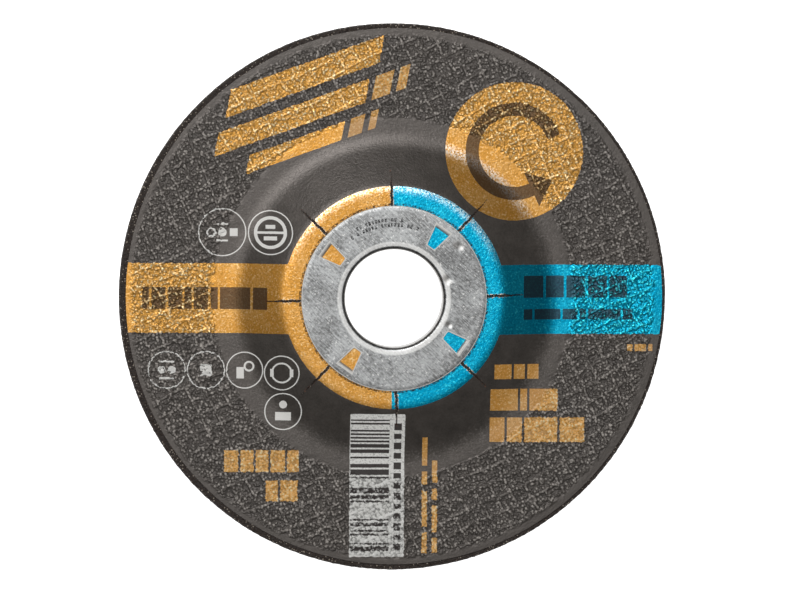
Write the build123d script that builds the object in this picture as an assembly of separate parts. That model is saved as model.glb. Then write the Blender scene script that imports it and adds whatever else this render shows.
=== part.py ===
# Depressed-centre grinding disc, 125 x 6 mm with a 22.23 mm bore.
#
# The disc lies on its working face with the label up. The origin is in the middle of that
# face and +Z runs up along the bore. All lengths are in millimetres, all angles in degrees,
# counted from +X as seen from above.

from build123d import *
from math import hypot, pi, sqrt
import os

room = 5.0                # how far cutting shapes stand past what they cut

# Abrasive wheel
disc_d = 125.0            # outside diameter
rim_t = 6.0               # thickness at the rim, label included
hub_rise = 4.6            # how far the hub stands above the web on the label side
recess_depth = 4.6        # how far the nut's recess goes in from the working face
hub_shoulder_r = 25.2     # corner between hub and slope, label side
web_foot_r = 35.8         # corner between slope and web, label side
foot_ease = 2.2           # how far the foot's bevel reaches along the slope and the web
recess_r = 24.0           # corner of the recess floor, working side
face_foot_r = 34.5        # corner between slope and working face
rim_chamfer = 0.4
bore_chamfer = 0.7

# Steel hub ring
bore_d = 22.23
ring_d = 42.1
steel_t = 0.5
lip_bevel = 0.9           # outside of the bend from flange to collar
collar_fit = 0.05         # between the collar and the wheel's bore
collar_short = 0.4        # the collar ends this far above the recess floor
tab_count = 4
tab_turn = 54.5           # angle of the first tab
window_lip_gap = 2.3      # flange left between a window and the lip
window_edge_gap = 1.65    # flange left between a window and the outer edge
window_in_w = 2.0
window_out_w = 4.0
tab_bend = 0.3            # inside radius of the tab's bend

# Paper label
label_t = 0.3
label_margin = 1.3            # bare rim round the label
label_shift = (0.42, 0.1)     # the label was laid a little off the disc's middle
label_hole_d = 25.0
slit_turn = 1.3
slit_w = 0.4
slit_reach = (29.8, 31.0, 27.5, 30.6, 28.1, 30.4, 29.0, 28.1)

# Relief of the glass net that lies under the label
net_in_r = 41.2
net_rim_gap = 3.1             # the net shows up to this far inside the rim
net_turn = 25.5
net_pitch = 5.9
strand_w = 1.2
press_depth = 0.15

# Printed fields, inlaid in the label
ink_t = 0.22
print_shift = (0.05, -0.27)
print_turn = -0.35
colour_ring_d = 50.7
colour_ring_at = (0.04, 0.42)
colours_meet_x = -0.45
band_h = 15.85
roundel_d = 31.5
roundel_turn = 50.9
roundel_gap = 2.0             # to the label's edge, as are the gaps below
bars_turn = 20.0
bar_lean = 0.6                # how far a bar's ends run along for each millimetre across
# each slanted bar: gap, width, start and end along it
slanted_bars = (
    (4.0, 5.6, -22.0, 15.0),
    (12.2, 4.8, -27.5, 9.0),
    (19.4, 3.8, -22.0, 1.0),
)
panel_x = -3.5
panel_size = (12.5, 33.0)
panel_gap = 2.1

# Levels and radii that follow
disc_r = disc_d / 2
bore_r = bore_d / 2
ring_r = ring_d / 2
label_r = disc_r - label_margin
net_out_r = disc_r - net_rim_gap
hub_top = rim_t + hub_rise
flange_top = hub_top + steel_t
collar_r = bore_r + steel_t
collar_end = recess_depth + collar_short
wheel_bore_r = collar_r + collar_fit
window_in_r = bore_r + lip_bevel + window_lip_gap
window_out_r = ring_r - window_edge_gap
above = flange_top + room


def turned(corners):
    """Solid of revolution from (radius, height, bevel) corners of its section."""
    section = make_face(Polyline(*[(r, z) for r, z, _ in corners], close=True))
    for r, z, bevel in corners:
        if bevel:
            corner = section.vertices().sort_by_distance((r, z, 0))[0]
            section = chamfer(corner, bevel)
    return revolve(Plane.XZ * section, Axis.Z)


def crown(drop, inner_r):
    """Corners of the label side, from the middle outwards, lowered by drop."""
    return [
        (inner_r, hub_top - drop, 0),
        (hub_shoulder_r, hub_top - drop, 0),
        (web_foot_r, rim_t - drop, foot_ease),
    ]


def ring_section_solid():
    """Flange and collar of the hub ring, of one sheet thickness through the bend."""
    inner_bevel = lip_bevel - steel_t * (2 - sqrt(2))
    return turned([
        (bore_r, collar_end, 0),
        (collar_r, collar_end, 0),
        (collar_r, hub_top, inner_bevel),
        (ring_r, hub_top, 0),
        (ring_r, flange_top, 0),
        (bore_r, flange_top, lip_bevel),
    ])


def tab_window():
    """Opening that the tab at angle 0 leaves in the flange."""
    outline = Polygon(
        (window_in_r, -window_in_w / 2),
        (window_out_r, -window_out_w / 2),
        (window_out_r, window_out_w / 2),
        (window_in_r, window_in_w / 2),
        align=None,
    )
    return Pos(0, 0, hub_top) * extrude(outline, steel_t)


def tab():
    """Tab at angle 0, bent down from the window's wide end and driven into the wheel."""
    outer = tab_bend + steel_t
    straight = window_out_r - window_in_r - pi / 2 * (tab_bend + steel_t / 2)
    tip = hub_top - tab_bend - straight
    bend_at = (window_out_r, hub_top - tab_bend)
    plate = make_face([
        Line((window_out_r, hub_top), (window_out_r, flange_top)),
        CenterArc(bend_at, outer, 90, 90),
        Line((window_out_r - outer, bend_at[1]), (window_out_r - outer, tip)),
        Line((window_out_r - outer, tip), (window_out_r - tab_bend, tip)),
        Line((window_out_r - tab_bend, tip), (window_out_r - tab_bend, bend_at[1])),
        CenterArc(bend_at, tab_bend, 90, 90),
    ])
    plate = extrude(Plane.XZ * plate, window_out_w, both=True)
    taper = Polygon(
        (-window_out_w / 2, flange_top),
        (-window_in_w / 2, tip),
        (window_in_w / 2, tip),
        (window_out_w / 2, flange_top),
        align=None,
    )
    return plate & extrude(Plane.YZ * taper, window_out_r)


def around(shape, angles):
    """Copies of a shape, turned about the bore."""
    return [Rot(0, 0, angle) * shape for angle in angles]


tab_angles = [tab_turn + i * 360 / tab_count for i in range(tab_count)]
tabs = around(tab(), tab_angles)


def make_hub_ring():
    """Stamped ring: flange on the label, collar in the bore, four tabs bent down."""
    return ring_section_solid() - around(tab_window(), tab_angles) + tabs


def make_wheel_body():
    """Moulded abrasive wheel with its raised hub and the recess for the nut."""
    wheel = turned([
        (wheel_bore_r, recess_depth, 0),
        (recess_r, recess_depth, 0),
        (face_foot_r, 0, 0),
        (disc_r - rim_chamfer, 0, 0),
        (disc_r, rim_chamfer, 0),
        (disc_r, rim_t - label_t - rim_chamfer, 0),
        (disc_r - rim_chamfer, rim_t - label_t, 0),
        *reversed(crown(label_t, wheel_bore_r + bore_chamfer)),
        (wheel_bore_r, hub_top - label_t - bore_chamfer, 0),
    ])
    return wheel - tabs


def net_cells():
    """Hollows between the strands, where the press sinks the label into the net."""
    side = net_pitch - strand_w
    mouth = Rectangle(side, side).face()
    hollow = Pos(0, 0, rim_t) * loft([mouth, Vertex(0, 0, -press_depth)])
    half_diagonal = hypot(side, side) / 2
    reach = int(net_out_r / net_pitch) + 1
    cells = []
    for i in range(-reach, reach + 1):
        for j in range(-reach, reach + 1):
            x = (i + 0.5) * net_pitch
            y = (j + 0.5) * net_pitch
            if net_in_r + half_diagonal < hypot(x, y) < net_out_r - half_diagonal:
                cells.append(Rot(0, 0, net_turn) * Pos(x, y) * hollow)
    return cells


def make_sheet():
    """The label as one sheet over the wheel, before its print is told apart."""
    hole_r = label_hole_d / 2
    sheet = turned([
        *crown(0, hole_r),
        (disc_r, rim_t, 0),
        (disc_r, rim_t - label_t, 0),
        *reversed(crown(label_t, hole_r)),
    ])
    sheet &= Pos(*label_shift, 0) * Cylinder(label_r, above * 2)
    slits = []
    for i, reach in enumerate(slit_reach):
        slit = Box(reach, slit_w, above, align=(Align.MIN, Align.CENTER, Align.MIN))
        slits.append(Rot(0, 0, slit_turn + i * 360 / len(slit_reach)) * slit)
    return sheet - slits - tabs - net_cells()


def slanted_bar(gap, width, start, end):
    """Bar with slanted ends, a gap inside the label's edge."""
    high = label_r - gap
    low = high - width
    lean = bar_lean * width
    return Rot(0, 0, bars_turn) * Polygon(
        (start, low),
        (end, low),
        (end + lean, high),
        (start + lean, high),
        align=None,
    )


def make_prints():
    """Flat outlines of the three colours, as a dict of sketches."""
    bands = Pos(*colour_ring_at) * Circle(colour_ring_d / 2) + Rectangle(2 * disc_d, band_h)
    left_half = Pos(colours_meet_x - disc_d, 0) * Rectangle(2 * disc_d, disc_d)
    right_half = Pos(colours_meet_x + disc_d, 0) * Rectangle(2 * disc_d, disc_d)
    bars = [slanted_bar(*bar) for bar in slanted_bars]
    roundel_r = roundel_d / 2
    roundel = Rot(0, 0, roundel_turn) * Pos(label_r - roundel_gap - roundel_r, 0) * Circle(roundel_r)
    panel_y = panel_gap + panel_size[1] / 2 - label_r
    return {
        "orange_print": (bands & left_half) + bars + roundel,
        "blue_print": bands & right_half,
        "silver_print": Pos(panel_x, panel_y) * Rectangle(*panel_size),
    }


def ink_space():
    """Room above the depth that the print reaches in the label."""
    core_r = label_hole_d / 4
    return turned([
        (core_r, above, 0),
        *crown(ink_t, core_r),
        (disc_r + room, rim_t - ink_t, 0),
        (disc_r + room, above, 0),
    ])


def make_label_and_prints():
    """Label and its three printed fields, cut from one sheet."""
    sheet = make_sheet()
    space = ink_space()
    placed = Pos(*print_shift, 0) * Rot(0, 0, print_turn)
    pieces = {}
    for name, outline in make_prints().items():
        column = extrude(placed * outline, above) & space
        pieces[name] = sheet & column
        sheet -= column
    pieces["label"] = sheet
    return pieces


parts = {
    "wheel_body": make_wheel_body(),
    "hub_ring": make_hub_ring(),
    **make_label_and_prints(),
}

os.makedirs("parts", exist_ok=True)
for name, shape in parts.items():
    export_step(shape, f"parts/{name}.step")
    print(name, len(shape.solids()), "solids", round(shape.volume, 2), "mm3")
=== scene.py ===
# Finish of the depressed-centre grinding disc: the abrasive wheel, its stamped hub ring and the
# printed label that is pressed over a glass net. Lengths are worked in millimetres and angles in
# degrees, and each finished piece is scaled to metres.

from math import cos, hypot, radians, sin, tau

import bmesh
import bpy
import numpy as np
from mathutils import Matrix, Vector, noise


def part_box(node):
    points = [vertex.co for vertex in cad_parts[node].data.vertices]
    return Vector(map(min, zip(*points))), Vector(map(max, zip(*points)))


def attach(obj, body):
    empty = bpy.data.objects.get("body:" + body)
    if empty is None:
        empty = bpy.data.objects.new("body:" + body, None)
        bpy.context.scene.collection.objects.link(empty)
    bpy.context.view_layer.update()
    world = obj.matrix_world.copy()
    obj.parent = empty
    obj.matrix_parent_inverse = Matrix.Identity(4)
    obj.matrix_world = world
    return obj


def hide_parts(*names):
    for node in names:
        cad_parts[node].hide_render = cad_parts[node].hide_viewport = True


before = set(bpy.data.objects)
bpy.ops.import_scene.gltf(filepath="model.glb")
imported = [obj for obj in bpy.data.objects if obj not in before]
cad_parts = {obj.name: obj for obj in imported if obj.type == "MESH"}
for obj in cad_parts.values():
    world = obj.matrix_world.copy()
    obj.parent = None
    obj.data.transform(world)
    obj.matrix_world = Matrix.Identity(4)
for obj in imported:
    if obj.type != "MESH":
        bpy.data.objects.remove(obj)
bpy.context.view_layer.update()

MM = 0.001

# Sizes that the frame gives
wheel_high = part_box("wheel_body")[1]
ring_low, ring_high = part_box("hub_ring")
label_low, label_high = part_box("label")
disc_r = wheel_high.x / MM
hub_top = label_high.z / MM
flange_top = ring_high.z / MM
flange_r = ring_high.x / MM
collar_end = ring_low.z / MM
label_shift = ((label_low.x + label_high.x) / 2 / MM, (label_low.y + label_high.y) / 2 / MM)
label_r = (label_high.x - label_low.x) / 2 / MM

# Stamped hub ring
steel_t = 0.5
bore_r = 11.115
lip_round = 0.9
flange_edge = 0.12            # rounding of the flange's upper edge
tab_turn = 54.5
tab_count = 4
window_lip_gap = 2.3          # flange left between a window and the lip
window_edge_gap = 1.65        # flange left between a window and the outer edge
window_in_r = bore_r + lip_round + window_lip_gap
window_out_r = flange_r - window_edge_gap
window_in_w = 2.0
window_out_w = 4.0
window_corner = 0.35
tab_bend = 0.3

# Form of the pressed wheel; each corner has its radius and its rounding
web_top = 6.0
label_t = 0.3
collar_fit = 0.05
wheel_bore_r = bore_r + steel_t + collar_fit
bore_bevel = 0.7
recess_depth = 4.6
shoulder = (25.2, 6.0)
foot = (35.8, 10.7)
recess_corner = (24.0, 4.0)
face_foot = (34.5, 12.0)
rim_round = 0.55

# Grain of the bare wheel: height and rate of its coarse and fine grit
coarse_grit = (0.11, 1.5)
fine_grit = (0.07, 2.9)
open_thread_h = 0.13          # threads of the net at the working face
open_mesh_sunk = 0.05         # the meshes between them

# Net of glass thread
net_turn = 25.5
net_pitch = 3.55
net_sway = 0.35               # how far a thread strays from its line
sway_rates = (0.23, 0.27)     # radians for each millimetre along a thread
net_in_r = 41.2
net_out_r = 59.2
thread_top = 0.1              # from a thread's middle to where its flank begins
thread_foot = 0.5             # and to where the flank ends

# Relief of the label above its smooth form, clear of the net and over it
clear_lump = 0.014
clear_grain = 0.010
clear_wave = 0.02
net_sunk = -0.11
net_thread = 0.13
net_lump = 0.09
net_grain = 0.11
deepest_press = -0.24

# Print
print_shift = (0.05, -0.27)
print_turn = -0.35
colour_ring_at = (0.04, 0.42)
colour_ring_r = 25.35
colours_meet_x = -0.45
band_h = 15.85
roundel_r = 15.75
roundel_turn = 50.9
roundel_gap = 2.0
bars_turn = 20.0
bar_lean = 0.6
# each slanted bar: gap to the label's edge, width, start and end along it
slanted_bars = (
    (4.0, 5.6, -22.0, 15.0),
    (12.2, 4.8, -27.5, 9.0),
    (19.4, 3.8, -22.0, 1.0),
)
panel_x = -3.5
panel_size = (12.5, 33.0)
panel_gap = 2.1
panel_at = (panel_x, panel_gap + panel_size[1] / 2 - label_r)
roundel_far = label_r - roundel_gap - roundel_r
roundel_at = (roundel_far * cos(radians(roundel_turn)), roundel_far * sin(radians(roundel_turn)))

# Hole and slits of the label
label_hole_r = 12.5
slit_turn = 1.3
slit_w = 0.6
slit_reach = (29.8, 31.0, 27.5, 30.6, 28.1, 30.4, 29.0, 28.1)
slit_ragged = 0.14

# Mesh sizes
label_cell = 0.70             # halved over the net and along outlines
wheel_steps = 620
ring_steps = 240


def smooth_step(low, high, x):
    """0 below low, 1 above high, smooth between."""
    t = min(max((x - low) / (high - low), 0.0), 1.0)
    return t * t * (3 - 2 * t)


def rounded_drop(r, corners, heights):
    """Height at radius r of a section with rounded corners."""
    (r1, round1), (r2, round2) = corners
    high, low = heights
    slope = (high - low) / (r2 - r1)
    lean = np.arctan(slope)
    reach1 = round1 * np.tan(lean / 2)
    reach2 = round2 * np.tan(lean / 2)
    over = r - (r1 - reach1)
    under = (r2 + reach2) - r
    if over <= 0:
        return high
    if r < r1 + reach1 * cos(lean):
        return high - round1 + (round1 ** 2 - over ** 2) ** 0.5
    if under <= 0:
        return low
    if r > r2 - reach2 * cos(lean):
        return low + round2 - (round2 ** 2 - under ** 2) ** 0.5
    return high - (r - r1) * slope


def crown(r):
    """Height of the smooth label side at radius r."""
    return rounded_drop(r, (shoulder, foot), (hub_top, web_top))


def underside(r):
    """Height of the smooth working side at radius r."""
    return rounded_drop(r, (recess_corner, face_foot), (recess_depth, 0.0))


def lumps(x, y, z, scale, seed):
    """Smooth noise between about -1 and 1."""
    return noise.noise(Vector((x * scale + seed, y * scale, z * scale)))


def thread_height(x, y):
    """1 on top of a thread, 0 in the middle of a mesh of the net."""
    turn = radians(net_turn)
    u = x * cos(turn) + y * sin(turn)
    v = y * cos(turn) - x * sin(turn)
    over = 0.0
    for place, along, rate in ((u, v, sway_rates[0]), (v, u, sway_rates[1])):
        share = (place + net_sway * sin(along * rate)) / net_pitch % 1.0
        over = max(over, 1 - smooth_step(thread_top, thread_foot, abs(share - 0.5) * net_pitch))
    return over


def in_net(x, y):
    """How far a point is in the zone where the net shows, 0 to 1."""
    r = hypot(x, y)
    ragged = 0.7 * lumps(x, y, 8.0, 0.35, 0.0)
    inner = smooth_step(net_in_r - 0.5, net_in_r + 0.7, r + ragged)
    return inner * (1 - smooth_step(net_out_r - 0.3, net_out_r + 0.8, r + 0.5 * ragged))


def label_relief(x, y):
    """Height that the press gave the label above its smooth form."""
    inside = in_net(x, y)
    lump = lumps(x, y, 1.0, 1.25, 0.0)
    grain = lumps(x, y, 2.0, 2.1, 0.0)
    wave = lumps(x, y, 5.0, 0.22, 0.0)
    free = smooth_step(flange_r, flange_r + 1.5, hypot(x, y))
    smooth_zone = free * (clear_lump * lump + clear_grain * grain + clear_wave * wave)
    thread = thread_height(x, y) * (0.6 + 0.4 * lumps(x, y, 4.0, 0.4, 0.0))
    rough = (net_lump * lump + net_grain * grain) * (1 - 0.5 * thread)
    net_zone = net_sunk + net_thread * thread + rough
    return max(smooth_zone + inside * (net_zone - smooth_zone), deepest_press)


# Outlines of the print and the sheet, as signed distances: below 0 inside

def to_print(x, y):
    """Place of points in the print's own frame."""
    turn = radians(print_turn)
    dx, dy = x - print_shift[0], y - print_shift[1]
    return dx * cos(turn) + dy * sin(turn), dy * cos(turn) - dx * sin(turn)


def waver(x, y):
    """How far the press pulled the edge of a print, more over the net."""
    strength = np.where(np.hypot(x, y) > net_in_r, 0.14, 0.03)
    return strength * np.sin(3.3 * x + 1.7 * np.sin(2.1 * y)) * np.sin(2.9 * y + 1.3 * np.sin(2.6 * x))


def box_outline(x, y, at, size):
    """Signed distance to a rectangle."""
    dx = np.abs(x - at[0]) - size[0] / 2
    dy = np.abs(y - at[1]) - size[1] / 2
    return np.hypot(np.maximum(dx, 0), np.maximum(dy, 0)) + np.minimum(np.maximum(dx, dy), 0)


def bar_outline(x, y, gap, width, start, end):
    """Signed distance to a slanted bar."""
    turn = radians(bars_turn)
    along = x * cos(turn) + y * sin(turn)
    across = y * cos(turn) - x * sin(turn)
    high = label_r - gap
    low = high - width
    leant = along - bar_lean * (across - low)
    square = hypot(1, bar_lean)
    ends = np.maximum(start - leant, leant - end) / square
    return np.maximum.reduce([low - across, across - high, ends])


def band_outline(px, py):
    """Signed distance to the colour ring with its two bands."""
    ring = np.hypot(px - colour_ring_at[0], py - colour_ring_at[1]) - colour_ring_r
    return np.minimum(ring, np.abs(py) - band_h / 2) + waver(px, py)


def orange_outline(x, y):
    """Signed distance to the orange print."""
    px, py = to_print(x, y)
    loose = [bar_outline(px, py, *bar) for bar in slanted_bars]
    loose.append(np.hypot(px - roundel_at[0], py - roundel_at[1]) - roundel_r)
    band = np.maximum(band_outline(px, py), px - colours_meet_x)
    return np.minimum(np.minimum.reduce(loose) + waver(px, py), band)


def blue_outline(x, y):
    """Signed distance to the blue print."""
    px, py = to_print(x, y)
    return np.maximum(band_outline(px, py), colours_meet_x - px)


def silver_outline(x, y):
    """Signed distance to the pale silver panel."""
    px, py = to_print(x, y)
    return box_outline(px, py, panel_at, panel_size) + waver(px, py)


def sheet_outline(x, y):
    """Signed distance to the paper itself, with its hole and slits."""
    parts = [
        np.hypot(x - label_shift[0], y - label_shift[1]) - label_r,
        label_hole_r - np.hypot(x, y),
    ]
    for i, reach in enumerate(slit_reach):
        turn = radians(slit_turn + i * 360 / len(slit_reach))
        along = x * cos(turn) + y * sin(turn)
        across = y * cos(turn) - x * sin(turn)
        ragged = slit_ragged * np.sin(along * 6.3 + i) * np.sin(along * 3.7 + 2 * i)
        taper = np.clip((reach - along) / (reach - colour_ring_r), 0.25, 1)
        gap = np.maximum(np.abs(across + ragged) - slit_w / 2 * taper, along - reach)
        parts.append(-np.maximum(gap, -along))
    return np.maximum.reduce(parts)


inks = {
    "orange_ink": orange_outline,
    "blue_ink": blue_outline,
    "silver_ink": silver_outline,
}


def face_centres(bm):
    """Middle of each face, seen from above."""
    centres = np.array([face.calc_center_median() for face in bm.faces])
    return centres[:, 0], centres[:, 1]


def fine_grid():
    """Flat grid under the label, halved over the net and along every outline."""
    grid = bmesh.new()
    cells = int(2 * label_r / label_cell) + 6
    bmesh.ops.create_grid(grid, x_segments=cells, y_segments=cells, size=cells * label_cell / 2)
    bmesh.ops.rotate(grid, verts=grid.verts, matrix=Matrix.Rotation(radians(net_turn), 3, "Z"))
    x, y = face_centres(grid)
    sheet = sheet_outline(x, y)
    to_edge = np.minimum.reduce([np.abs(outline(x, y)) for outline in inks.values()] + [np.abs(sheet)])
    r = np.hypot(x, y)
    fine = (to_edge < label_cell) | ((r > net_in_r - 1) & (r < net_out_r + 1))
    fine &= sheet < label_cell
    edges = {edge for face, split in zip(grid.faces, fine) if split for edge in face.edges}
    bmesh.ops.subdivide_edges(grid, edges=list(edges), cuts=1, use_grid_fill=True)
    return grid


def label_pieces():
    """The pressed label, told apart into paper and inks along their outlines."""
    grid = fine_grid()
    x, y = face_centres(grid)
    zone = np.full(len(x), "label_paper", dtype=object)
    for name, outline in inks.items():
        zone[outline(x, y) < 0] = name
    zone[sheet_outline(x, y) > 0] = ""
    zone_of = dict(zip(grid.faces, zone))

    snap = {"": [], **{name: [] for name in inks}}
    for vert in grid.verts:
        around = {zone_of[face] for face in vert.link_faces}
        if "" in around and len(around) > 1:
            snap[""].append(vert)
        elif len(around) > 1:
            snap[min(around - {"label_paper"})].append(vert)
    for name, verts in snap.items():
        pull_to_outline(verts, inks.get(name, sheet_outline))

    names = ["label_paper", *inks]
    for face in grid.faces:
        face.material_index = names.index(zone_of[face]) if zone_of[face] else len(names)
    for vert in grid.verts:
        vert.co.z = crown(hypot(vert.co.x, vert.co.y)) + label_relief(vert.co.x, vert.co.y)
    pieces = {}
    for index, name in enumerate(names):
        part = grid.copy()
        others = [face for face in part.faces if face.material_index != index]
        bmesh.ops.delete(part, geom=others, context="FACES")
        give_thickness(part)
        pieces[name] = part
    grid.free()
    return pieces


def pull_to_outline(verts, outline):
    """Move points sideways onto an outline."""
    if not verts:
        return
    x = np.array([vert.co.x for vert in verts])
    y = np.array([vert.co.y for vert in verts])
    step = 0.01
    farthest = 0.4 * label_cell
    for _ in range(2):
        gx = (outline(x + step, y) - outline(x - step, y)) / (2 * step)
        gy = (outline(x, y + step) - outline(x, y - step)) / (2 * step)
        steepness = np.maximum(gx * gx + gy * gy, 0.25)
        d = np.clip(outline(x, y), -farthest, farthest)
        x = x - d * gx / steepness
        y = y - d * gy / steepness
    for vert, vx, vy in zip(verts, x, y):
        vert.co.x, vert.co.y = vx, vy


def give_thickness(part):
    """Close a sheet with a smooth back, one paper's thickness below the smooth form."""
    back = bmesh.ops.extrude_face_region(part, geom=part.faces[:])
    for item in back["geom"]:
        if isinstance(item, bmesh.types.BMVert):
            item.co.z = crown(hypot(item.co.x, item.co.y)) - label_t
    for face in part.faces:
        face.material_index = 0
    bmesh.ops.recalc_face_normals(part, faces=part.faces[:])


def arc_points(centre, radius, first, last, count):
    """Points of an arc in the (radius, height) plane."""
    turns = [radians(first + (last - first) * i / count) for i in range(count + 1)]
    return [(centre[0] + radius * cos(t), centre[1] + radius * sin(t)) for t in turns]


def evenly(start, end, spacing):
    """Radii from start to end, about spacing apart, without the last one."""
    count = max(1, round(abs(end - start) / spacing))
    return [start + (end - start) * i / count for i in range(count)]


def spun(section, steps):
    """Solid turned about the bore from a closed section of (radius, height) points."""
    bm = bmesh.new()
    verts = [bm.verts.new((r, 0, z)) for r, z in section]
    edges = [bm.edges.new((a, b)) for a, b in zip(verts, verts[1:] + verts[:1])]
    bmesh.ops.spin(bm, geom=verts + edges, axis=(0, 0, 1), cent=(0, 0, 0), angle=tau,
                   steps=steps, use_merge=True)
    bmesh.ops.remove_doubles(bm, verts=bm.verts, dist=0.0005)
    bmesh.ops.recalc_face_normals(bm, faces=bm.faces[:])
    return bm


def make_wheel():
    """The abrasive body, with grit on its rim and open side, and the net of that side."""
    top = web_top - label_t
    edge_r = disc_r - rim_round
    paper_edge_r = label_r - 1.0
    bore_top_r = wheel_bore_r + bore_bevel
    section = [(r, underside(r)) for r in evenly(wheel_bore_r, recess_corner[0] - 3, 1.2)]
    section += [(r, underside(r)) for r in evenly(recess_corner[0] - 3, edge_r, 0.5)]
    section += arc_points((edge_r, rim_round), rim_round, -90, 0, 3)
    section += [(disc_r, z) for z in evenly(rim_round, top - rim_round, 0.45)[1:]]
    section += arc_points((edge_r, top - rim_round), rim_round, 0, 90, 3)
    section += [(r, top) for r in evenly(edge_r, paper_edge_r, 0.35)[1:]]
    section += [(r, crown(r) - label_t) for r in evenly(paper_edge_r, bore_top_r, 2.0)]
    section += [(bore_top_r, hub_top - label_t), (wheel_bore_r, hub_top - label_t - bore_bevel)]
    wheel = spun(section, wheel_steps)
    wheel.normal_update()
    shifts = []
    for vert in wheel.verts:
        x, y, z = vert.co
        r = hypot(x, y)
        open_rim = smooth_step(label_r - 0.9, label_r - 0.2, r)
        open_face = 1 - smooth_step(0.4, 1.4, z - underside(r))
        bare = max(open_rim, open_face if r > wheel_bore_r + 0.6 else 0)
        if bare <= 0:
            continue
        height = coarse_grit[0] * (lumps(x, y, z, coarse_grit[1], 11.0) - 1)
        height += fine_grit[0] * lumps(x, y, z, fine_grit[1], 31.0)
        if open_face > 0.5 and recess_corner[0] + 2 < r < disc_r - 0.8:
            height += open_thread_h * thread_height(x, y) - open_mesh_sunk
        shifts.append((vert, vert.normal * height * bare))
    for vert, shift in shifts:
        vert.co += shift
        vert.co.z = max(vert.co.z, 0.0)
    return wheel


def window_prism():
    """Prism through the flange at angle 0 with the outline of a tab's window."""
    bm = bmesh.new()
    corners = (
        (window_in_r, -window_in_w / 2),
        (window_out_r, -window_out_w / 2),
        (window_out_r, window_out_w / 2),
        (window_in_r, window_in_w / 2),
    )
    past = 0.2
    low = flange_top - steel_t - past
    face = bm.faces.new([bm.verts.new((x, y, low)) for x, y in corners])
    made = bmesh.ops.extrude_face_region(bm, geom=[face])
    raised = [item for item in made["geom"] if isinstance(item, bmesh.types.BMVert)]
    bmesh.ops.translate(bm, verts=raised, vec=(0, 0, steel_t + 2 * past))
    sides = [edge for edge in bm.edges if abs(edge.verts[0].co.z - edge.verts[1].co.z) > past]
    bmesh.ops.bevel(bm, geom=sides, offset=window_corner, segments=3, profile=0.5, affect="EDGES",
                    material=-1)
    bmesh.ops.recalc_face_normals(bm, faces=bm.faces[:])
    return bm


def tab_blade():
    """The tab at angle 0, bent down into the wheel from the wide end of its window."""
    bm = bmesh.new()
    low = flange_top - steel_t
    side = window_out_w / 2
    corners = ((-side, low), (side, low), (side, flange_top), (-side, flange_top))
    root = bm.faces.new([bm.verts.new((window_out_r, y, z)) for y, z in corners])
    bend = bmesh.ops.spin(bm, geom=[root, *root.edges, *root.verts], axis=(0, 1, 0),
                          cent=(window_out_r, 0, low - tab_bend), angle=-tau / 4, steps=5)
    ends = [item for item in bend["geom_last"] if isinstance(item, bmesh.types.BMFace)]
    made = bmesh.ops.extrude_face_region(bm, geom=ends)
    tip = [item for item in made["geom"] if isinstance(item, bmesh.types.BMVert)]
    straight = window_out_r - window_in_r - tau / 4 * (tab_bend + steel_t / 2)
    bmesh.ops.translate(bm, verts=tip, vec=(0, 0, -straight))
    bmesh.ops.scale(bm, verts=tip, vec=(1, window_in_w / window_out_w, 1))
    bmesh.ops.recalc_face_normals(bm, faces=bm.faces[:])
    return bm


def repeated(bm, count, first):
    """Copies of a small mesh, turned about the bore, as one mesh."""
    whole = bmesh.new()
    mesh = bpy.data.meshes.new("part")
    for i in range(count):
        turned = bm.copy()
        turn = Matrix.Rotation(radians(first + i * 360 / count), 3, "Z")
        bmesh.ops.rotate(turned, verts=turned.verts, matrix=turn)
        turned.to_mesh(mesh)
        whole.from_mesh(mesh)
        turned.free()
    bpy.data.meshes.remove(mesh)
    bm.free()
    return whole


def make_hub_ring():
    """The stamped ring: flange, rolled lip, collar, windows and tabs."""
    low = flange_top - steel_t
    inner = lip_round - steel_t
    lip_r = bore_r + lip_round
    section = [(bore_r, collar_end), (bore_r + steel_t, collar_end)]
    section += arc_points((lip_r, low - inner), inner, 180, 90, 4)
    section += [(r, low) for r in evenly(lip_r + 0.5, flange_r, 1.6)]
    section += [(flange_r, low)]
    section += arc_points((flange_r - flange_edge, flange_top - flange_edge), flange_edge, 0, 90, 3)
    section += [(r, flange_top) for r in evenly(flange_r - flange_edge, lip_r, 1.0)[1:]]
    section += arc_points((lip_r, flange_top - lip_round), lip_round, 90, 180, 8)
    ring = finished(spun(section, ring_steps), "hub_ring_pressed")
    cutter = finished(repeated(window_prism(), tab_count, tab_turn), "window_cutter")
    cut = ring.modifiers.new("windows", "BOOLEAN")
    cut.operation = "DIFFERENCE"
    cut.object = cutter
    cut.solver = "EXACT"
    bpy.context.view_layer.update()
    shown = ring.evaluated_get(bpy.context.evaluated_depsgraph_get())
    whole = bmesh.new()
    whole.from_mesh(shown.to_mesh())
    shown.to_mesh_clear()
    ring.modifiers.clear()
    bpy.data.objects.remove(cutter)
    tabs = bpy.data.meshes.new("tabs")
    blades = repeated(tab_blade(), tab_count, tab_turn)
    bmesh.ops.scale(blades, verts=blades.verts, vec=(MM, MM, MM))
    blades.to_mesh(tabs)
    blades.free()
    whole.from_mesh(tabs)
    whole.to_mesh(ring.data)
    whole.free()
    bpy.data.meshes.remove(tabs)
    return ring


def finished(bm, name):
    """Object in metres from a mesh in millimetres."""
    bmesh.ops.scale(bm, verts=bm.verts, vec=(MM, MM, MM))
    mesh = bpy.data.meshes.new(name)
    bm.to_mesh(mesh)
    bm.free()
    piece = bpy.data.objects.new(name, mesh)
    bpy.context.scene.collection.objects.link(piece)
    return piece


def shade_by_angle(piece, limit):
    """Smooth shading, with edges sharper than the limit kept crisp."""
    piece.data.shade_smooth()
    piece.data.set_sharp_from_angle(angle=radians(limit))


# Finishes

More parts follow.
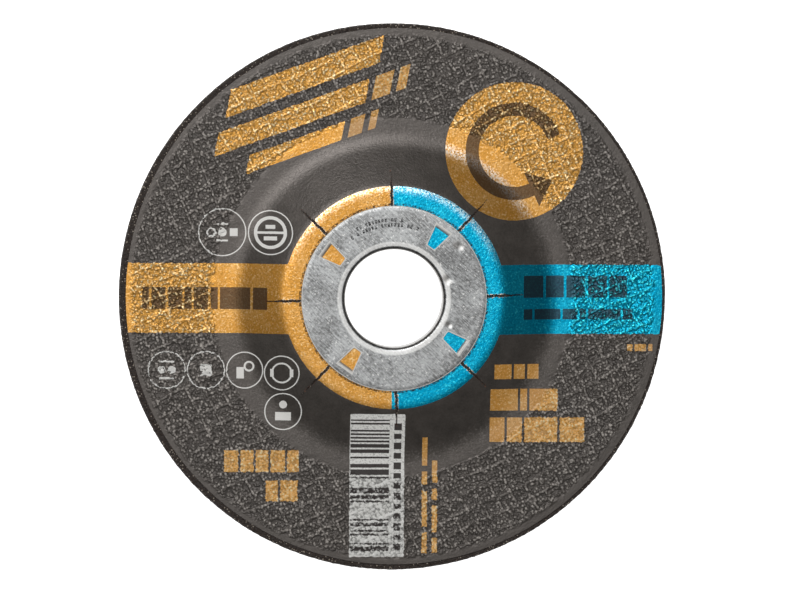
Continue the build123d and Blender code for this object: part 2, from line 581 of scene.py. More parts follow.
class Finish:
    """One material and short ways to add its nodes."""

    def __init__(self, name):
        self.material = bpy.data.materials.new(name)
        self.material.use_nodes = True
        self.tree = self.material.node_tree
        self.shader = self.tree.nodes["Principled BSDF"]
        self.place = self.node("ShaderNodeTexCoord").outputs["Object"]

    def node(self, kind, **settings):
        made = self.tree.nodes.new(kind)
        for key, value in settings.items():
            setattr(made, key, value)
        return made

    def put(self, socket, value):
        """Link a socket's value, or set it."""
        if isinstance(value, bpy.types.NodeSocket):
            self.tree.links.new(value, socket)
        else:
            socket.default_value = value

    def math(self, operation, a, b=0.0, c=0.0):
        made = self.node("ShaderNodeMath", operation=operation)
        for socket, value in zip(made.inputs, (a, b, c)):
            self.put(socket, value)
        return made.outputs[0]

    def vector_math(self, operation, a, b=(0.0, 0.0, 0.0)):
        made = self.node("ShaderNodeVectorMath", operation=operation)
        self.put(made.inputs[0], a)
        self.put(made.inputs[3 if operation == "SCALE" else 1], b)
        return made.outputs["Value" if operation == "DISTANCE" else "Vector"]

    def product(self, *values):
        """All the values multiplied."""
        whole = values[0]
        for value in values[1:]:
            whole = self.math("MULTIPLY", whole, value)
        return whole

    def either(self, masks):
        """1 where any of the masks is 1."""
        whole = masks[0]
        for mask in masks[1:]:
            whole = self.math("MAXIMUM", whole, mask)
        return whole

    def near(self, value, middle, reach):
        """1 where a value is within reach of the middle."""
        return self.math("COMPARE", value, middle, reach)

    def span(self, value, low, high, to_low=0.0, to_high=1.0, soft=False):
        """A value taken from low..high to to_low..to_high, and held at the ends."""
        made = self.node("ShaderNodeMapRange", interpolation_type="SMOOTHSTEP" if soft else "LINEAR")
        for socket, number in zip(made.inputs, (value, low, high, to_low, to_high)):
            self.put(socket, number)
        return made.outputs[0]

    def ring_band(self, r, begin, full, fade, end):
        """Mask of a ring that comes in from begin to full and goes out from fade to end."""
        return self.product(self.span(r, begin, full, soft=True), self.span(r, end, fade, soft=True))

    def mix(self, share, one, two):
        """Colour one where share is 0, two where it is 1."""
        made = self.node("ShaderNodeMix", data_type="RGBA")
        self.put(made.inputs[0], share)
        self.put(made.inputs[6], one)
        self.put(made.inputs[7], two)
        return made.outputs[2]

    def scaled(self, turn=0.0, shift=(0.0, 0.0), stretch=(1.0, 1.0, 1.0)):
        """Place in millimetres, in a frame that is shifted, turned and then stretched."""
        mapped = self.node("ShaderNodeMapping", vector_type="TEXTURE")
        self.put(mapped.inputs["Vector"], self.place)
        mapped.inputs["Location"].default_value = (shift[0] * MM, shift[1] * MM, 0.0)
        mapped.inputs["Rotation"].default_value = (0.0, 0.0, radians(turn))
        mapped.inputs["Scale"].default_value = [MM * s for s in stretch]
        return mapped.outputs[0]

    def noise(self, vector, scale, detail=2.0, roughness=0.5, output=0):
        made = self.node("ShaderNodeTexNoise")
        self.put(made.inputs["Vector"], vector)
        for name, value in (("Scale", scale), ("Detail", detail), ("Roughness", roughness)):
            made.inputs[name].default_value = value
        return made.outputs[output]

    def jittered(self, vector, amount, scale):
        """The place moved a little to and fro, so that what is drawn on it has ragged edges."""
        off = self.vector_math("SUBTRACT", self.noise(vector, scale, output=1), (0.5, 0.5, 0.5))
        return self.vector_math("ADD", vector, self.vector_math("SCALE", off, amount))

    def cells(self, vector, scale):
        """Scattered grains: the distance from each one's middle, and its place."""
        made = self.node("ShaderNodeTexVoronoi")
        self.put(made.inputs["Vector"], vector)
        made.inputs["Scale"].default_value = scale
        return made

    def chance(self, value, kind="1D"):
        """One random number for each value."""
        made = self.node("ShaderNodeTexWhiteNoise", noise_dimensions=kind)
        self.put(made.inputs["W" if kind == "1D" else "Vector"], value)
        return made.outputs["Value"]

    def axes(self, vector):
        """x and y of a place."""
        made = self.node("ShaderNodeSeparateXYZ")
        self.put(made.inputs[0], vector)
        return made.outputs[0], made.outputs[1]

    def bump(self, height, distance, strength=1.0, under=None):
        """Relief of a height, distance millimetres deep, over the relief under it."""
        made = self.node("ShaderNodeBump")
        made.inputs["Strength"].default_value = strength
        made.inputs["Distance"].default_value = distance * MM
        self.put(made.inputs["Height"], height)
        if under is not None:
            self.put(made.inputs["Normal"], under)
        return made.outputs[0]

    def gap_to(self, vector, at=(0.0, 0.0)):
        """Distance from a point, seen from above."""
        flat = self.vector_math("MULTIPLY", vector, (1.0, 1.0, 0.0))
        return self.vector_math("DISTANCE", flat, (at[0], at[1], 0.0))

    def angle(self, x, y):
        """Direction of a place from the middle, in degrees."""
        return self.math("MULTIPLY", self.math("ARCTAN2", y, x), 360 / tau)

    def spokes(self, x, y, turn, count):
        """Distances along and across the nearest of count spokes, the first at turn."""
        step = 360 / count
        turned = self.math("DIVIDE", self.math("SUBTRACT", self.angle(x, y), turn), step)
        share = self.math("FRACT", self.math("ADD", turned, 0.5))
        off = self.math("MULTIPLY", self.math("SUBTRACT", share, 0.5), radians(step))
        r = self.math("SQRT", self.math("ADD", self.product(x, x), self.product(y, y)))
        return self.product(r, self.math("COSINE", off)), self.product(r, self.math("SINE", off))

    def box(self, x, y, at, size):
        """Mask of a rectangle."""
        return self.product(self.near(x, at[0], size[0] / 2), self.near(y, at[1], size[1] / 2))

    def blocks(self, along, across, start, middle, height, widths, gap):
        """Mask of a row of plain blocks."""
        margin = 1.0
        whole = sum(widths) + gap * (len(widths) - 1)
        share = self.span(along, start - margin, start + whole + margin)
        ramp = self.node("ShaderNodeValToRGB")
        ramp.color_ramp.interpolation = "CONSTANT"
        ramp.color_ramp.elements.remove(ramp.color_ramp.elements[1])
        ramp.color_ramp.elements[0].color = (0, 0, 0, 1)
        at = margin
        for width in widths:
            for place, shade in ((at, 1), (at + width, 0)):
                stop = ramp.color_ramp.elements.new(place / (whole + 2 * margin))
                stop.color = (shade, shade, shade, 1)
            at += width + gap
        self.put(ramp.inputs[0], share)
        return self.product(ramp.outputs[0], self.near(across, middle, height / 2))

    def done(self, colour, roughness, normal=None, metallic=0.0, specular=0.5, coat=0.0):
        self.put(self.shader.inputs["Base Color"], colour)
        self.put(self.shader.inputs["Roughness"], roughness)
        self.shader.inputs["Metallic"].default_value = metallic
        self.shader.inputs["Specular IOR Level"].default_value = specular
        self.shader.inputs["Coat Weight"].default_value = coat
        self.shader.inputs["Coat Roughness"].default_value = 0.3
        if normal is not None:
            self.put(self.shader.inputs["Normal"], normal)
            self.put(self.shader.inputs["Coat Normal"], normal)
        return self.material


# Colours, as linear values
paper_pit = (0.018, 0.016, 0.014, 1)
paper_dark = (0.034, 0.030, 0.026, 1)
paper_pale = (0.076, 0.067, 0.059, 1)
paper_glint = (0.44, 0.405, 0.37, 1)
paper_sheen = (1.0, 0.91, 0.85, 1)
highlight_white = (0.94, 0.92, 0.85, 1)
# each ink: plain, a painted lit shade over the net, dark in its pits, pale for painted glints and random
# flecks
orange = ((0.67, 0.315, 0.055, 1), (1.0, 0.50, 0.11, 1), (0.33, 0.160, 0.022, 1), (1.0, 0.80, 0.45, 1))
blue = ((0.0, 0.34, 0.56, 1), (0.01, 0.64, 0.96, 1), (0.0, 0.13, 0.24, 1), (0.07, 0.90, 1.0, 1))
silver = ((0.90, 0.89, 0.85, 1), (0.90, 0.89, 0.85, 1), (0.10, 0.096, 0.09, 1), (0.98, 0.97, 0.94, 1))
sign_white = (0.93, 0.92, 0.88, 1)
print_dark = (0.040, 0.032, 0.030, 1)
paper_fibre = (0.62, 0.52, 0.40, 1)
# dark of the slits' cracks, also used for the painted shadow along the hub ring's edge
crack_and_shadow_dark = (0.020, 0.013, 0.010, 1)
rust_brown = (0.22, 0.085, 0.045, 1)
abrasive_brown = (0.055, 0.036, 0.026, 1)
abrasive_black = (0.012, 0.009, 0.008, 1)
abrasive_spark = (0.45, 0.39, 0.32, 1)
steel_dark = (0.13, 0.131, 0.130, 1)
steel_pale = (0.43, 0.438, 0.438, 1)
steel_bright = (0.95, 0.94, 0.91, 1)
steel_dim_brown = (0.16, 0.14, 0.12, 1)
steel_ink = (0.020, 0.019, 0.020, 1)
floor_pale = (0.92, 0.92, 0.92, 1)
floor_dim = (0.88, 0.88, 0.88, 1)

# Painted highlights in rings at the ends of the slope: radii where each begins, is full, fades and ends
paper_foot_highlight = (33.5, 36.5, 38.5, 41.5)
ink_foot_highlight = (33.4, 35.0, 35.8, 37.4)
ink_shoulder_highlight = (23.0, 24.9, 25.4, 25.9)

# Wear along a slit: middle and half length of the stretch
rust_stretch = (27.3, 2.0)
crack_stretch = (26.3, 2.6)

# Painted highlight on the hub ring's rolled lip, and painted shade down in its bore
lip_shine = (11.8, 12.0, 12.7, 13.1)
bore_painted_shade = (11.75, 11.55)

# Signs: x, y, radius of the circle
signs = (
    (-39.0, 15.0, 5.35),
    (-28.1, 15.0, 4.95),
    (-51.5, -16.4, 4.2),
    (-42.6, -16.4, 4.2),
    (-33.8, -16.4, 4.1),
    (-25.4, -16.9, 3.9),
    (-25.0, -25.8, 4.15),
)
sign_line = 0.26

# Rows of plain blocks: start along x, y of the middle, height, widths
block_gap = 0.55
dark_on_orange = (
    (-57.2, 0.0, 5.0, (1.6, 3.2, 3.2, 1.6, 3.2, 1.6, 6.9, 3.2)),
)
dark_on_blue = (
    (29.6, 2.9, 5.0, (4.6, 4.2, 4.4, 4.4, 4.0)),
    (29.6, -3.4, 2.4, (2.0, 6.0, 3.4, 1.4, 7.4, 2.2)),
)
orange_on_dark = (
    (-38.4, -37.2, 5.0, (3.2, 2.9, 2.9, 3.2, 2.6)),
    (-28.9, -44.0, 4.8, (2.8, 3.9)),
    (23.0, -16.5, 3.4, (4.0, 2.6, 2.6)),
    (22.2, -23.0, 5.0, (6.4, 1.6, 6.4)),
    (22.2, -29.9, 5.6, (3.4, 3.4, 7.6, 5.6)),
    (53.6, -11.0, 1.6, (1.2, 2.6, 0.9)),
)
# columns of them: x of the middle, start along y, width, heights
orange_columns = (
    (7.4, -58.2, 1.2, (4.6, 8.2, 3.0, 6.5)),
    (9.7, -58.2, 1.2, (3.4, 6.0, 2.4, 5.2)),
)
column_gap = 1.4
# small slanted blocks ahead of the two inner bars
lead_blocks = ((4.4, 2.4), (3.4, 1.8))
lead_gap = 1.5

# Turning arrow of the roundel
arrow_r = 9.6
arrow_w = 3.0
arrow_gap = (-65.0, 20.0)     # directions between which the arrow's ring stays open
head_long = 5.2
head_half = 4.2

# Bars of the silver panel and the column of small blocks beside them
bar_step = 0.42
bar_share = 0.44              # of the steps that are dark
bars_reach = (-9.6, -0.75)
column_x = 1.15
column_w = 1.7
column_start = 1.5            # from the panel's lower edge
column_block_gap = 0.9
column_heights = (1.5, 1.2, 1.7, 1.4, 1.2, 1.6, 1.5, 1.2, 1.6, 1.3, 1.5, 1.2, 1.6)
panel_border = 1.3

# Marks on the hub ring: dents as x, y and size, and arcs of ink dashes as radius, the
# directions where the arc ends and starts, and how many steps it has
dents = ((15.0, 11.7, 1.5), (12.3, 4.1, 1.5), (12.6, -6.1, 1.1))
ink_arcs = (
    (17.85, 119.0, 83.0, 15),
    (16.70, 126.0, 70.0, 22),
)
ink_arc_h = 0.85


def pressed_paper(finish):
    """Place in millimetres, share of the net, height of what shows through, and painted glints on raised
    grains.
    """
    flat = finish.scaled()
    r = finish.gap_to(finish.jittered(flat, 1.2, 0.5))
    share = finish.product(finish.span(r, net_in_r - 0.5, net_in_r + 0.7, soft=True),
                           finish.span(r, net_out_r + 0.9, net_out_r - 0.3, soft=True))
    u, v = finish.axes(finish.scaled(net_turn))
    lines = []
    for place, along, rate in ((u, v, sway_rates[0]), (v, u, sway_rates[1])):
        sway = finish.product(finish.math("SINE", finish.product(along, rate)), net_sway)
        step = finish.math("FRACT", finish.math("DIVIDE", finish.math("ADD", place, sway), net_pitch))
        off = finish.math("ABSOLUTE", finish.math("SUBTRACT", step, 0.5))
        lines.append(finish.span(off, 0.05, 0.13, 1.0, 0.0, soft=True))
    whole_thread = finish.span(finish.noise(flat, 0.8, 3.0, 0.6), 0.40, 0.56, 0.2, 1.0)
    thread = finish.product(finish.either(lines), whole_thread, share)
    grains = finish.cells(finish.jittered(flat, 0.5, 1.6), 1.4)
    from_middle = grains.outputs["Distance"]
    dome = finish.span(from_middle, 0.12, 0.72, 1.0, 0.0, soft=True)
    # Painted glints: chosen grains, and the grains along threads, are marked to turn pale.
    lucky = finish.span(finish.chance(grains.outputs["Position"], "3D"), 0.45, 0.80)
    lucky = finish.either([lucky, finish.product(thread, 0.95)])
    peak_glints = finish.product(finish.span(from_middle, 0.52, 0.22, soft=True), lucky, share)
    fine = finish.noise(flat, 3.0, 3.0, 0.6)
    rough = finish.math("ADD", finish.product(dome, finish.span(share, 0.0, 1.0, 0.04, 0.6)),
                        finish.product(fine, finish.span(share, 0.0, 1.0, 0.16, 0.4)))
    height = finish.math("ADD", finish.product(rough, finish.span(thread, 0.0, 1.0, 1.0, 0.45)),
                         finish.product(thread, 0.6))
    return flat, share, height, peak_glints


def pressed_normal(finish, flat, height):
    """Relief of the pressed paper, with a fine tooth."""
    tooth = finish.bump(finish.noise(flat, 6.5, 2.0, 0.6), 0.04, 0.5)
    return finish.bump(height, 0.29, 1.0, under=tooth)


def print_frame(finish, share):
    """Place in the print's frame, as a vector and as x and y, ragged over the net."""
    vector = finish.scaled(print_turn, print_shift)
    vector = finish.jittered(vector, finish.span(share, 0.0, 1.0, 0.10, 0.75), 1.5)
    return vector, *finish.axes(vector)


def torn_slits(finish, flat, colour):
    """Dirt along the slits, with pale fibres where the colour ring is torn."""
    x, y = finish.axes(finish.jittered(flat, 0.35, 1.6))
    along, across = finish.spokes(x, y, slit_turn, len(slit_reach))
    across = finish.math("ABSOLUTE", across)
    inner = finish.span(along, colour_ring_r + 0.3, colour_ring_r - 0.1)
    torn = finish.span(across, slit_w / 2 + 0.22, slit_w / 2 + 0.08)
    some = finish.span(finish.noise(flat, 1.9, 2.0, 0.6), 0.47, 0.52)
    colour = finish.mix(finish.product(torn, inner, some), colour, paper_fibre)
    rust = finish.product(finish.span(across, 0.34, 0.16), finish.near(along, *rust_stretch),
                          finish.span(finish.noise(flat, 2.4, 2.0, 0.6), 0.54, 0.60))
    colour = finish.mix(finish.product(rust, 0.7), colour, rust_brown)
    crack = finish.product(finish.span(across, 0.20, 0.08), finish.near(along, *crack_stretch))
    return finish.mix(finish.product(crack, 0.85), colour, crack_and_shadow_dark)


def flange_painted_shadow(finish, flat, colour):
    """Painted shadow: dark specks where the hub ring's edge meets the paper."""
    r = finish.gap_to(flat)
    close = finish.near(r, flange_r + 0.1, 0.42)
    specks = finish.span(finish.noise(flat, 2.6, 2.0, 0.6), 0.44, 0.56, 0.1, 0.9)
    return finish.mix(finish.product(close, specks), colour, crack_and_shadow_dark)


def sign_figures(finish, vector, x, y):
    """Plain figures inside the seven circles."""
    one, two, three, four, five, six, seven = signs
    figures = []

    def ring(at, radius, width):
        figures.append(finish.near(finish.gap_to(vector, at), radius, width / 2))

    def bar(at, size):
        figures.append(finish.box(x, y, at, size))

    ring((one[0] - 2.5, one[1]), 0.9, 0.4)
    bar((one[0] + 2.6, one[1]), (1.8, 1.8))
    bar((one[0], one[1] + 1.9), (2.6, 0.4))
    bar((one[0], one[1] - 1.9), (2.6, 0.4))
    ring((one[0], one[1]), 0.5, 1.0)
    ring(two[:2], 3.35, 0.75)
    bar(two[:2], (6.0, 0.55))
    bar((two[0], two[1] + 1.3), (2.2, 0.9))
    bar((two[0], two[1] - 1.3), (3.0, 0.9))
    ring((three[0] - 1.1, three[1]), 0.45, 0.9)
    ring((three[0] + 1.1, three[1]), 0.45, 0.9)
    bar((three[0], three[1] - 1.9), (3.4, 0.45))
    bar((three[0], three[1] + 1.9), (3.4, 0.45))
    bar(four[:2], (2.6, 2.6))
    bar((five[0] - 1.0, five[1] - 0.6), (1.7, 2.6))
    ring((five[0] + 1.0, five[1] + 0.9), 1.0, 0.45)
    ring(six[:2], 2.2, 0.4)
    bar((six[0] - 2.2, six[1]), (0.8, 1.8))
    bar((six[0] + 2.2, six[1]), (0.8, 1.8))
    ring((seven[0], seven[1] + 1.6), 0.45, 0.9)
    bar((seven[0], seven[1] - 1.1), (3.6, 1.9))
    return figures


def lead_masks(finish):
    """Small slanted blocks ahead of the inner bars."""
    along, across = finish.axes(finish.scaled(print_turn + bars_turn, print_shift))
    masks = []
    for (gap, width, _, end), widths in zip(slanted_bars[1:], lead_blocks):
        low = label_r - gap - width
        lean = finish.product(finish.math("SUBTRACT", across, low), bar_lean)
        leant = finish.math("SUBTRACT", along, lean)
        start = end + lead_gap
        masks.append(finish.blocks(leant, across, start, low + width / 2, width, widths, lead_gap))
    return masks


def paper_finish():
    """Dark printed paper with its signs and rows of blocks."""
    finish = Finish("label_paper")
    flat, share, height, peak_glints = pressed_paper(finish)
    vector, x, y = print_frame(finish, share)
    mottle = finish.noise(flat, 0.28, 4.0, 0.6)
    speck = finish.noise(flat, 2.2, 3.0, 0.7)
    tone = finish.math("ADD", finish.product(mottle, 0.6), finish.product(speck, 0.5))
    colour = finish.mix(finish.span(tone, 0.40, 0.75), paper_dark, paper_pale)
    r = finish.gap_to(flat)
    # Painted highlight: pale specks in a ring round the foot of the slope.
    on_foot = finish.ring_band(r, *paper_foot_highlight)
    on_foot = finish.product(on_foot, finish.span(speck, 0.52, 0.70), 0.22)
    pits = finish.product(finish.span(height, 0.42, 0.20, soft=True), share, 0.7)
    colour = finish.mix(pits, colour, paper_pit)
    # Painted highlight: thread tops, glinting grains and the specks of the foot ring are mixed toward a
    # pale glint colour.
    high = finish.product(finish.span(height, 0.58, 0.90, soft=True), share, 0.55)
    glint_share = finish.either([high, peak_glints, on_foot])
    colour = finish.mix(glint_share, colour, paper_glint)

    oranges = [finish.blocks(x, y, *row, block_gap) for row in orange_on_dark]
    oranges += [finish.blocks(y, x, start, middle, width, heights, column_gap)
                for middle, start, width, heights in orange_columns]
    oranges += lead_masks(finish)
    tint = ink_colour(finish, (flat, share, height, peak_glints), orange)
    colour = finish.mix(finish.either(oranges), colour, tint)

    lines = [finish.near(finish.gap_to(vector, sign[:2]), sign[2], sign_line / 2) for sign in signs]
    whole = finish.math("GREATER_THAN", height, finish.span(share, 0.0, 1.0, 0.0, 0.22))
    white = finish.product(finish.either(lines + sign_figures(finish, vector, x, y)), whole)
    colour = finish.mix(white, colour, sign_white)
    colour = flange_painted_shadow(finish, flat, torn_slits(finish, flat, colour))
    roughness = finish.span(speck, 0.2, 0.8, 0.28, 0.42)
    finish.shader.inputs["Specular Tint"].default_value = paper_sheen
    return finish.done(colour, roughness, pressed_normal(finish, flat, height), specular=0.85)


def ink_colour(finish, pressed, shades):
    """An ink with a painted lit shade over the net, darker in its pits, with painted glints, random pale
    flecks and painted highlights on the top of its shoulder and foot.
    """
    flat, share, height, peak_glints = pressed
    plain, bright, dark, pale = shades
    wash = finish.noise(flat, 0.16, 3.0, 0.5)
    colour = finish.mix(finish.span(wash, 0.42, 0.7, 0.0, 0.12), plain, pale)
    # Painted light: over the net the ink is mixed toward a lit shade of itself, for the glinting facets.
    colour = finish.mix(finish.product(share, 0.9), colour, bright)
    grain = finish.noise(flat, 2.3, 3.0, 0.65)
    colour = finish.mix(finish.span(grain, 0.48, 0.36, 0.0, 0.45), colour, dark)
    pits = finish.product(finish.span(height, 0.42, 0.20, soft=True), share, 0.65)
    colour = finish.mix(pits, colour, dark)
    _, y = finish.axes(flat)
    r = finish.gap_to(flat, colour_ring_at)
    # Painted highlight: ragged pale flecks on the top side of the shoulder and of the foot, where the
    # key lamp catches the slope.
    begin, full, fade, end = ink_shoulder_highlight
    on_shoulder = finish.product(finish.span(r, begin, full, soft=True), finish.span(r, end, fade),
                                 finish.span(y, 6.0, 19.0, soft=True), 0.55)
    on_foot = finish.product(finish.ring_band(r, *ink_foot_highlight),
                             finish.span(y, 12.0, 26.0, soft=True), 0.6)
    shoulder_foot_highlight = finish.product(finish.either([on_shoulder, on_foot]), finish.span(grain, 0.43, 0.54))
    # Painted highlight on thread tops and glinting grains, together with random pale flecks of the ink.
    flecks = finish.span(grain, 0.55, 0.66, 0.0, 0.6)
    high = finish.product(finish.span(height, 0.60, 0.92, soft=True), share, 0.75)
    glints_and_flecks = finish.either([high, peak_glints, flecks])
    return finish.mix(shoulder_foot_highlight, finish.mix(glints_and_flecks, colour, pale), highlight_white)


def ink_finish(name, shades, draw_darks, darkness, metallic, coat):
    """One ink with the dark shapes that are printed on it."""
    finish = Finish(name)
    flat, share, height, peak_glints = pressed_paper(finish)
    vector, x, y = print_frame(finish, share)
    colour = ink_colour(finish, (flat, share, height, peak_glints), shades)
    cover = finish.span(height, 0.55, 0.95, darkness, finish.span(share, 0.0, 1.0, 0.72, 0.25))
    darks = finish.product(finish.either(draw_darks(finish, vector, x, y)), cover)
    colour = finish.mix(darks, colour, print_dark)
    colour = flange_painted_shadow(finish, flat, torn_slits(finish, flat, colour))
    normal = pressed_normal(finish, flat, height)
    return finish.done(colour, 0.34, normal, metallic, specular=0.1, coat=coat)


def darks_on_orange(finish, vector, x, y):
    """Dark blocks of the orange band and the turning arrow of the roundel."""
    masks = [finish.blocks(x, y, *row, block_gap) for row in dark_on_orange]
    ring = finish.near(finish.gap_to(vector, roundel_at), arrow_r, arrow_w / 2)
    dx = finish.math("SUBTRACT", x, roundel_at[0])
    dy = finish.math("SUBTRACT", y, roundel_at[1])
    opened = finish.near(finish.angle(dx, dy), sum(arrow_gap) / 2, (arrow_gap[1] - arrow_gap[0]) / 2)
    masks.append(finish.product(ring, finish.math("SUBTRACT", 1.0, opened)))
    tip = radians(arrow_gap[0])
    from_x = finish.math("SUBTRACT", dx, arrow_r * cos(tip))
    from_y = finish.math("SUBTRACT", dy, arrow_r * sin(tip))
    along = finish.math("ADD", finish.product(from_x, -sin(tip)), finish.product(from_y, cos(tip)))
    across = finish.math("ADD", finish.product(from_x, cos(tip)), finish.product(from_y, sin(tip)))
    width = finish.span(along, 0.0, head_long, head_half, 0.0)
    inside = finish.math("LESS_THAN", finish.math("ABSOLUTE", across), width)
    masks.append(finish.product(inside, finish.near(along, head_long / 2, head_long / 2)))
    return masks


def darks_on_blue(finish, vector, x, y):
    """Dark blocks of the blue band."""
    return [finish.blocks(x, y, *row, block_gap) for row in dark_on_blue]


def darks_on_silver(finish, vector, x, y):
    """Plain bars and a column of small blocks."""
    row = finish.math("FLOOR", finish.math("DIVIDE", y, bar_step))
    bars = finish.math("LESS_THAN", finish.chance(row), bar_share)
    bars = finish.product(bars, finish.near(x, sum(bars_reach) / 2, (bars_reach[1] - bars_reach[0]) / 2))
    start = panel_at[1] - panel_size[1] / 2 + column_start
    column = finish.blocks(y, x, start, column_x, column_w, column_heights, column_block_gap)
    inside = finish.near(y, panel_at[1], panel_size[1] / 2 - panel_border)
    return [finish.product(finish.either([bars, column]), inside)]


def wheel_finish():
    """Brown-black resin with grit that sparkles."""
    finish = Finish("abrasive")
    flat = finish.scaled()
    grit = finish.cells(flat, 2.1)
    fine = finish.noise(flat, 3.2, 3.0, 0.7)
    colour = finish.mix(finish.span(fine, 0.38, 0.62), abrasive_black, abrasive_brown)
    lucky = finish.math("GREATER_THAN", finish.chance(grit.outputs["Position"], "3D"), 0.62)
    spark = finish.product(lucky, finish.span(grit.outputs["Distance"], 0.36, 0.22))
    colour = finish.mix(spark, colour, abrasive_spark)
    edges = finish.bump(grit.outputs["Distance"], 0.30, 0.8)
    normal = finish.bump(fine, 0.18, 0.9, under=edges)
    return finish.done(colour, finish.span(fine, 0.3, 0.7, 0.35, 0.75), normal)


def ink_dots(finish, flat, x, y):
    """Arcs of small dots, as a dot printer leaves them."""
    r = finish.gap_to(flat)
    angle = finish.angle(x, y)
    dashes = []
    for radius, last, first, count in ink_arcs:
        place = finish.math("DIVIDE", finish.math("SUBTRACT", angle, first), (last - first) / count)
        there = finish.math("GREATER_THAN", finish.chance(finish.math("FLOOR", place)), 0.22)
        dash = finish.near(finish.math("FRACT", place), 0.5, 0.33)
        within = finish.near(angle, (first + last) / 2, (last - first) / 2)
        dashes.append(finish.product(dash, there, within, finish.near(r, radius, ink_arc_h / 2)))
    dotty = finish.span(finish.cells(flat, 3.2).outputs["Distance"], 0.45, 0.60, 1.0, 0.35)
    return finish.product(finish.either(dashes), dotty)


def steel_finish():
    """Tinned sheet, mottled and finely scratched, with small dents and ink dots, painted highlights on
    its lip, edges and bends, and painted shade in its bore.
    """
    finish = Finish("steel")
    flat = finish.scaled()
    mottle = finish.noise(flat, 1.6, 4.0, 0.65)
    cloud = finish.noise(flat, 0.16, 3.0, 0.5)
    scratch = finish.noise(finish.scaled(turn=-43.0, stretch=(2.6, 0.22, 1.0)), 1.0, 3.0, 0.6)
    tone = finish.math("ADD", finish.product(mottle, 0.4),
                       finish.math("ADD", finish.product(cloud, 0.3), finish.product(scratch, 0.4)))
    colour = finish.mix(finish.span(tone, 0.45, 0.63), steel_dark, steel_pale)
    nicks = finish.span(finish.noise(flat, 2.4, 2.0, 0.6), 0.62, 0.70, 0.0, 0.6)
    colour = finish.mix(nicks, colour, steel_bright)
    x, y = finish.axes(flat)
    r = finish.gap_to(flat)
    # Painted highlight on the rolled lip, all round.
    lip_band = finish.ring_band(r, *lip_shine)
    colour = finish.mix(finish.product(lip_band, 0.42), colour, steel_bright)
    # Painted shade down in the bore.
    colour = finish.mix(finish.product(finish.span(r, *bore_painted_shade), 0.45), colour, steel_dim_brown)

    along, across = finish.spokes(x, y, tab_turn, tab_count)
    half = finish.span(along, window_in_r, window_out_r, window_in_w / 2, window_out_w / 2)
    beyond = [
        finish.math("SUBTRACT", finish.math("ABSOLUTE", across), half),
        finish.math("SUBTRACT", window_in_r, along),
        finish.math("SUBTRACT", along, window_out_r),
    ]
    outside = finish.either(beyond)
    # Painted highlight along the flange's rim, round the windows and on the tab bends.
    rim = finish.math("GREATER_THAN", r, flange_r - 0.22)
    edges = finish.either([finish.near(outside, 0.0, 0.24), rim])
    bend = finish.product(finish.near(along, window_out_r - tab_bend, 0.5),
                          finish.math("LESS_THAN", outside, 0.2))
    edges = finish.either([edges, finish.product(bend, 0.8)])
    colour = finish.mix(finish.product(edges, 0.85), colour, steel_bright)
    colour = finish.mix(ink_dots(finish, flat, x, y), colour, steel_ink)

    pits = 1.0
    for dent_x, dent_y, size in dents:
        # Each dent is darker on its upper left, with a painted highlight on its lower right.
        dark_side_at = (dent_x - 0.5 * size, dent_y + 0.35 * size)
        dark_side = finish.span(finish.gap_to(flat, dark_side_at), size, 0.2 * size, soft=True)
        colour = finish.mix(finish.product(dark_side, 0.45), colour, steel_dim_brown)
        shining = (dent_x + 0.15 * size, dent_y - 0.2 * size)
        shine = finish.span(finish.gap_to(flat, shining), 0.62 * size, 0.1 * size, soft=True)
        colour = finish.mix(finish.product(shine, 0.55), colour, steel_bright)
        pit = finish.span(finish.gap_to(flat, (dent_x, dent_y)), 0.0, size, 0.0, 1.0, soft=True)
        pits = finish.math("MINIMUM", pits, pit)
    base = finish.bump(finish.math("ADD", finish.product(mottle, 0.6), scratch), 0.035, 0.6)
    normal = finish.bump(pits, 0.07, 1.0, under=base)
    polish = finish.span(mottle, 0.3, 0.7, 0.26, 0.42)
    roughness = finish.math("MAXIMUM", polish, finish.product(edges, 0.75))
    return finish.done(colour, roughness, normal, metallic=1.0)


def floor_finish():
    """White studio floor that glows a little, so that it stays white round the disc."""
    finish = Finish("floor_white")
    soft = finish.noise(finish.scaled(), 0.02)
    finish.shader.inputs["Emission Color"].default_value = (1, 1, 1, 1)
    finish.shader.inputs["Emission Strength"].default_value = floor_glow
    colour = finish.mix(finish.span(soft, 0.3, 0.7, 0.0, 0.1), floor_pale, floor_dim)
    return finish.done(colour, 0.6)


# Studio

photo_w = 789
scale_px = 4.375              # pixels of the photograph for a millimetre of the rim
sensor_w = 36.0
camera_away = 1000.0
camera_lean = (-3.07, 2.90)   # degrees towards -X and +Y
aim = (0.50, 0.18, 3.0)       # what lies in the middle of the view
floor_half = 3000.0
floor_glow = 1.2
surround_glow = 0.10
# each lamp: place and width in metres, power in watts
key_lamp = ((-0.16, 0.38, 0.91), 0.24, 3.6)
top_card = ((-0.22, 0.16, 1.6), 1.15, 5.8)


def make_camera():
    """A long lens above the disc, a little up and to the left of it."""
    data = bpy.data.cameras.new("camera")
    data.sensor_width = sensor_w
    data.lens = data.sensor_width * camera_away / (photo_w / scale_px)
    data.clip_start = 0.01
    data.clip_end = 20.0
    camera = bpy.data.objects.new("camera", data)
    bpy.context.scene.collection.objects.link(camera)
    lean_x, lean_y = np.tan(np.radians(camera_lean))
    back = Vector((lean_x, lean_y, 1.0)).normalized()
    right = Vector((0, 1, 0)).cross(back).normalized()
    up = back.cross(right)
    turn = Matrix((right, up, back)).transposed().to_4x4()
    camera.matrix_world = Matrix.Translation((Vector(aim) + back * camera_away) * MM) @ turn
    bpy.context.scene.camera = camera


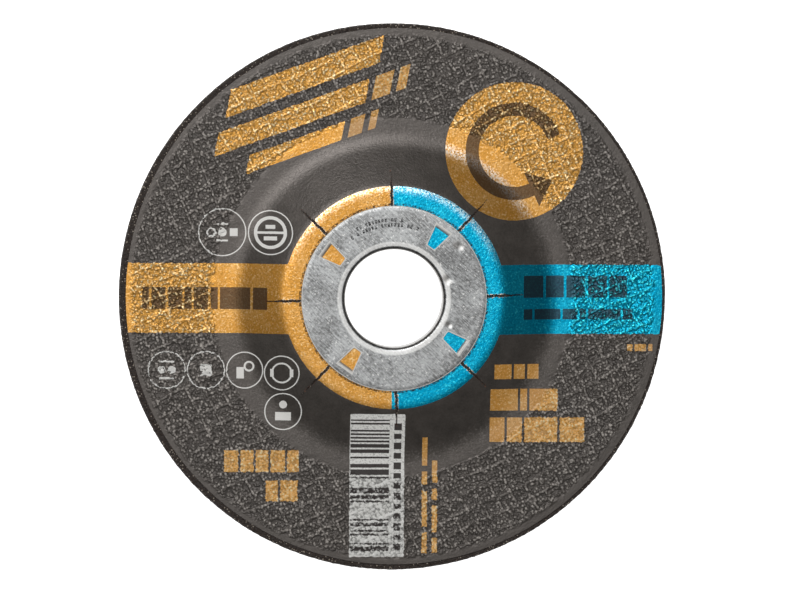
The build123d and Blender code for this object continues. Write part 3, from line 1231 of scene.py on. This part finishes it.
def add_lamp(name, place, size, power):
    """A soft square lamp that faces the disc."""
    data = bpy.data.lights.new(name, "AREA")
    data.size = size
    data.energy = power
    lamp = bpy.data.objects.new(name, data)
    bpy.context.scene.collection.objects.link(lamp)
    lamp.location = place
    lamp.rotation_euler = (-Vector(place)).to_track_quat("-Z", "Y").to_euler()


def make_studio():
    """White floor, a strong small card, a broad dim one and a pale surround."""
    bm = bmesh.new()
    bmesh.ops.create_grid(bm, x_segments=8, y_segments=8, size=floor_half)
    floor = finished(bm, "floor")
    floor.data.materials.append(floor_finish())
    add_lamp("key", *key_lamp)
    add_lamp("top_card", *top_card)
    world = bpy.data.worlds.new("surround")
    world.use_nodes = True
    surround = world.node_tree.nodes["Background"].inputs
    surround["Color"].default_value = (1, 1, 1, 1)
    surround["Strength"].default_value = surround_glow
    bpy.context.scene.world = world
    bpy.context.scene.view_settings.view_transform = "Standard"


make_camera()
make_studio()

hub_ring = make_hub_ring()
hub_ring.data.materials.append(steel_finish())
shade_by_angle(hub_ring, 35)
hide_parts("hub_ring")
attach(hub_ring, "root")

wheel = finished(make_wheel(), "wheel_grit")
wheel.data.materials.append(wheel_finish())
shade_by_angle(wheel, 60)
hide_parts("wheel_body")
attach(wheel, "root")

# each layer of the label: its finish, and the names of the new piece and of the node
label_layers = {
    "label_paper": (paper_finish(), "paper_sheet", "label"),
    "orange_ink": (
        ink_finish("orange_ink", orange, darks_on_orange, darkness=0.84, metallic=0.66, coat=0.12),
        "orange_fields",
        "orange_print",
    ),
    "blue_ink": (
        ink_finish("blue_ink", blue, darks_on_blue, darkness=0.84, metallic=0.88, coat=0.04),
        "blue_fields",
        "blue_print",
    ),
    "silver_ink": (
        ink_finish("silver_ink", silver, darks_on_silver, darkness=0.96, metallic=0.0, coat=0.0),
        "silver_panel",
        "silver_print",
    ),
}
for slot_name, part in label_pieces().items():
    layer, piece_name, node_name = label_layers[slot_name]
    piece = finished(part, piece_name)
    piece.data.materials.append(layer)
    shade_by_angle(piece, 60)
    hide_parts(node_name)
    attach(piece, "root")
